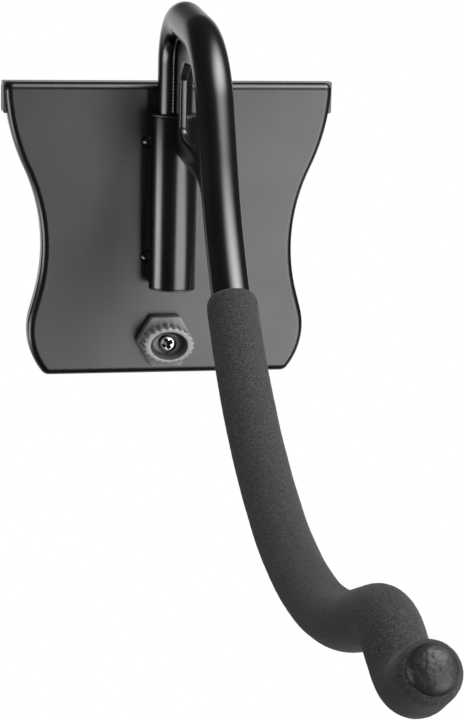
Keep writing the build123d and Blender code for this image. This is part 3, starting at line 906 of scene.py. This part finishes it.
def area_light(name, azimuth, elevation, width, height, radiance, shine, lean=0.0, distance=2.0, edge=0.42):
    """A softbox aimed at the rack, with its mirror image in gloss set apart from the light it sheds.
    Azimuth 0 is straight in front, positive to the right; lean turns the box about its own axis."""
    a, e = math.radians(azimuth), math.radians(elevation)
    way = Vector((math.sin(a) * math.cos(e), -math.cos(a) * math.cos(e), math.sin(e)))
    facing = way.to_track_quat("Z", "Y") @ Quaternion((0, 0, 1), math.radians(lean))
    # the two stand a little apart, because a ray that leaves one of two lamps in one plane misses the other
    for part, level, apart in (("light", radiance, 0.0), ("shine", shine, SHINE_APART)):
        data = bpy.data.lights.new(f"{name}_{part}", "AREA")
        data.shape = "RECTANGLE"
        data.size, data.size_y = width, height
        data.energy = level * width * height * math.pi
        if part == "shine":
            feathered(data, edge)
        lamp = bpy.data.objects.new(f"{name}_{part}", data)
        bpy.context.scene.collection.objects.link(lamp)
        lamp.location = Vector(AIM) + way * (distance + apart)
        lamp.rotation_euler = facing.to_euler()
        lamp.visible_camera = False
        lamp.visible_diffuse = part == "light"
        lamp.visible_glossy = part == "shine"


def white_to(tree, mask):
    """1 for what the camera sees, straight or through a part, the mask for gloss, and 0 for other light."""
    rays = node(tree, "ShaderNodeLightPath")
    mirrored = node(tree, "ShaderNodeMath", {"operation": "MULTIPLY"},
                    links={0: rays.outputs["Is Glossy Ray"], 1: mask})
    seen = node(tree, "ShaderNodeMath", {"operation": "MAXIMUM"},
                links={0: rays.outputs["Is Camera Ray"], 1: rays.outputs["Is Transmission Ray"]})
    return node(tree, "ShaderNodeMath", {"operation": "MAXIMUM"},
                links={0: seen.outputs[0], 1: mirrored.outputs[0]}).outputs[0]


class RackSizes(bpy.types.PropertyGroup):
    """Sizes of the rack's pieces"""

    lens: bpy.props.FloatProperty(name="Lens", description="Focal length of the view",
                                  default=115.61, unit="CAMERA")
    arm_radius: bpy.props.FloatProperty(name="Arm radius", description="Outside of the hook's tube",
                                        default=9.525 * MM, unit="LENGTH", precision=5)
    arm_wall: bpy.props.FloatProperty(name="Arm wall", description="Wall of the hook's tube",
                                      default=2.0 * MM, unit="LENGTH", precision=5)
    tube_radius: bpy.props.FloatProperty(name="Pivot radius", description="Outside of the pivot tube",
                                         default=12.7 * MM, unit="LENGTH", precision=5)
    grip_radius: bpy.props.FloatProperty(name="Grip radius", description="Outside of the foam grip",
                                         default=12.7 * MM, unit="LENGTH", precision=5)
    grip_roll: bpy.props.FloatProperty(name="Grip edge", description="Rounding of the grip's ends",
                                       default=6.0 * MM, unit="LENGTH", precision=5)
    cap_height: bpy.props.FloatProperty(name="Cap height", description="Height of the cap's dome",
                                        default=4.5 * MM, unit="LENGTH", precision=5)


class RackColours(bpy.types.PropertyGroup):
    """Colours of the rack's finishes"""

    coat: bpy.props.FloatVectorProperty(name="Powder coat", description="Colour of the powder coat",
                                        default=srgb("0F0F10"), size=4, min=0, max=1, subtype="COLOR")
    foam: bpy.props.FloatVectorProperty(name="Foam", description="Colour of the foam grip",
                                        default=srgb("373738"), size=4, min=0, max=1, subtype="COLOR")
    vinyl: bpy.props.FloatVectorProperty(name="Vinyl", description="Colour of the dipped cap",
                                         default=srgb("141415"), size=4, min=0, max=1, subtype="COLOR")
    knob: bpy.props.FloatVectorProperty(name="Knob", description="Colour of the knob's plastic",
                                        default=srgb("8C8C8E"), size=4, min=0, max=1, subtype="COLOR")
    zinc: bpy.props.FloatVectorProperty(name="Zinc", description="Colour of the plated hardware",
                                        default=srgb("9A9C9F"), size=4, min=0, max=1, subtype="COLOR")


class RACK_OT_stage(bpy.types.Operator):
    """Camera, floor, white room and lamps"""

    bl_idname = "rack.stage"
    bl_label = "Stage"

    def execute(self, context):
        scene = context.scene
        scene.view_settings.view_transform = "Standard"
        self.camera(scene)
        self.room(scene)
        area_light("right_softbox", azimuth=31, elevation=-15, width=1.75, height=1.5,
                   radiance=2.3, shine=7.0, lean=-45, distance=1.5)
        area_light("left_strip", azimuth=-89, elevation=-13, width=1.4, height=1.0, radiance=1.6, shine=8.5)
        area_light("top_softbox", azimuth=52, elevation=55, width=3.6, height=2.7,
                   radiance=2.0, shine=15.0, edge=1.0)
        self.floor(scene)
        return {"FINISHED"}

    def camera(self, scene):
        """A long lens to the left of the rack and a little above it."""
        data = bpy.data.cameras.new("view")
        data.sensor_width = 36.0
        data.lens = scene.rack_sizes.lens
        camera = bpy.data.objects.new("view", data)
        scene.collection.objects.link(camera)
        flat = math.cos(VIEW_PITCH)
        forward = Vector((math.sin(VIEW_YAW) * flat, math.cos(VIEW_YAW) * flat, math.sin(VIEW_PITCH)))
        level = Vector((math.cos(VIEW_YAW), -math.sin(VIEW_YAW), 0.0))
        over = level.cross(forward)
        right = level * math.cos(VIEW_ROLL) + over * math.sin(VIEW_ROLL)
        up = over * math.cos(VIEW_ROLL) - level * math.sin(VIEW_ROLL)
        pose = Matrix((right, up, -forward)).transposed().to_4x4()
        pose.translation = VIEW_PLACE
        camera.matrix_world = pose
        scene.camera = camera

    def room(self, scene):
        """A dim room that is white to the eye, and white behind the rack to metal and gloss as well."""
        world = bpy.data.worlds.new("studio")
        scene.world = world
        world.use_nodes = True
        tree = world.node_tree
        tree.nodes.clear()
        way = node(tree, "ShaderNodeSeparateXYZ",
                   links={"Vector": node(tree, "ShaderNodeTexCoord").outputs["Generated"]})
        # the white sweep stands behind the rack: it fades out 26 to 39 degrees to each side
        # and 6 to 25 degrees above the level
        behind = node(tree, "ShaderNodeMapRange", {"interpolation_type": "SMOOTHSTEP"},
                      {"From Min": 0.78, "From Max": 0.9}, {"Value": way.outputs["Y"]})
        under = node(tree, "ShaderNodeMapRange", {"interpolation_type": "SMOOTHSTEP"},
                     {"From Min": 0.42, "From Max": 0.1}, {"Value": way.outputs["Z"]})
        sweep = node(tree, "ShaderNodeMath", {"operation": "MULTIPLY"},
                     links={0: behind.outputs["Result"], 1: under.outputs["Result"]})
        lit, mirrored, white = (
            node(tree, "ShaderNodeBackground", inputs={"Color": WHITE, "Strength": strength})
            for strength in (0.18, 0.06, 1.0))
        dim = node(tree, "ShaderNodeMixShader",
                   links={"Fac": node(tree, "ShaderNodeLightPath").outputs["Is Glossy Ray"],
                          1: lit.outputs[0], 2: mirrored.outputs[0]})
        shown = node(tree, "ShaderNodeMixShader",
                     links={"Fac": white_to(tree, sweep.outputs[0]), 1: dim.outputs[0], 2: white.outputs[0]})
        node(tree, "ShaderNodeOutputWorld", links={"Surface": shown.outputs[0]})

    def floor(self, scene):
        """Floor under the rack: white to the eye; to gloss and bounced light, dark in front of the rack."""
        # matt seamless paper from 0.4 m behind the plate; in front of it, bounced light finds dark card,
        # so that black parts stay black
        material, tree, place = new_material("pale_paper_floor")
        spot = node(tree, "ShaderNodeSeparateXYZ", links={"Vector": place})
        paper = node(tree, "ShaderNodeMapRange", {"interpolation_type": "SMOOTHSTEP"},
                     {"From Min": 0.0, "From Max": 0.4}, {"Value": spot.outputs["Y"]})
        tone = node(tree, "ShaderNodeValToRGB", links={"Fac": paper.outputs["Result"]},
                    stops=[(0.0, srgb("3A3A3A")), (1.0, srgb("EDEDED"))])
        matt = node(tree, "ShaderNodeBsdfDiffuse", links={"Color": tone.outputs["Color"]})
        glow = node(tree, "ShaderNodeEmission", inputs={"Color": WHITE, "Strength": 1.0})
        seen = white_to(tree, paper.outputs["Result"])
        shown = node(tree, "ShaderNodeMixShader", links={"Fac": seen, 1: matt.outputs[0], 2: glow.outputs[0]})
        node(tree, "ShaderNodeOutputMaterial", links={"Surface": shown.outputs[0]})
        mesh = bpy.data.meshes.new("floor")
        reach, z = 3.0, -1.0
        corners = [(-reach, -reach, z), (reach, -reach, z), (reach, reach, z), (-reach, reach, z)]
        mesh.from_pydata(corners, [], [(0, 1, 2, 3)])
        floor = bpy.data.objects.new("floor", mesh)
        scene.collection.objects.link(floor)
        mesh.materials.append(material)


class RACK_PT_panel(bpy.types.Panel):
    """Sizes, colours and buttons for the rack's pieces"""

    bl_idname = "RACK_PT_panel"
    bl_label = "Wall rack"
    bl_space_type = "VIEW_3D"
    bl_region_type = "UI"
    bl_category = "Wall rack"

    def draw(self, context):
        for group in (context.scene.rack_sizes, context.scene.rack_colours):
            for name in group.__annotations__:
                self.layout.prop(group, name)
        for operator in OPERATORS:
            self.layout.operator(operator.bl_idname)


OPERATORS = (RACK_OT_stage, RACK_OT_plate, RACK_OT_pivot, RACK_OT_hook, RACK_OT_grip, RACK_OT_lock)
CLASSES = (RackSizes, RackColours, *OPERATORS, RACK_PT_panel)


def register():
    for cls in CLASSES:
        bpy.utils.register_class(cls)
    bpy.types.Scene.rack_sizes = bpy.props.PointerProperty(type=RackSizes)
    bpy.types.Scene.rack_colours = bpy.props.PointerProperty(type=RackColours)


def unregister():
    del bpy.types.Scene.rack_colours
    del bpy.types.Scene.rack_sizes
    for cls in reversed(CLASSES):
        bpy.utils.unregister_class(cls)


def main():
    """Builds the stage and the pieces in order."""
    register()
    for operator in OPERATORS:
        group, name = operator.bl_idname.split(".")
        getattr(getattr(bpy.ops, group), name)()


if __name__ == "__main__":
    main()
